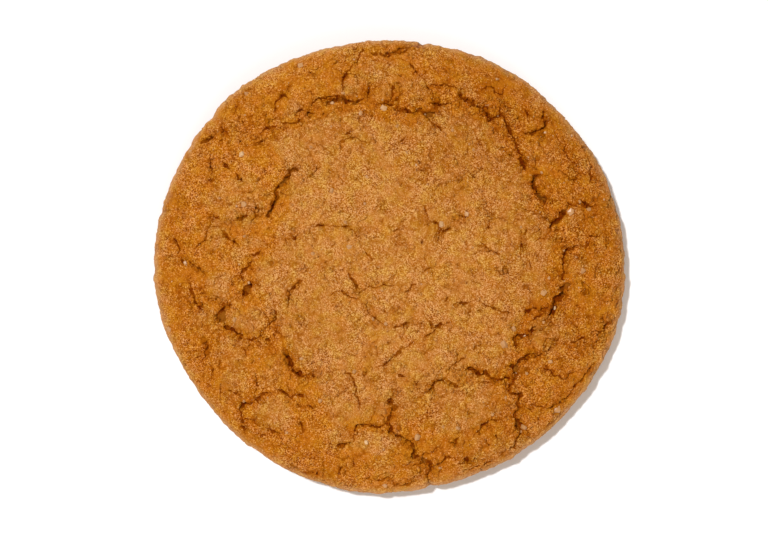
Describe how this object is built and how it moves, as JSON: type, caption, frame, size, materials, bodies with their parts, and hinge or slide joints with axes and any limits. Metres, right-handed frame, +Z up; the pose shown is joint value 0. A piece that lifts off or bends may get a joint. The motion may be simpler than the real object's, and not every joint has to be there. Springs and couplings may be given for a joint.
{
  "type": "ginger biscuit",
  "caption": "Round soft-baked biscuit with a cracked, sugared crust: a nearly flat middle plate, a rounded rim and a flat underside.",
  "frame": {"origin": "centre of the flat underside, on the surface the biscuit lies on", "axes": "+Z up out of the cracked top; +X to the right and +Y away from the viewer of the picture, which looks straight down"},
  "size_m": [0.071, 0.0682, 0.009],
  "materials": {
    "crust": "dull, dry golden-brown baked crust with fine sugar; base_color is linear"
  },
  "bodies": {
    "root": {"biscuit": "crust"}
  },
  "joints": []
}
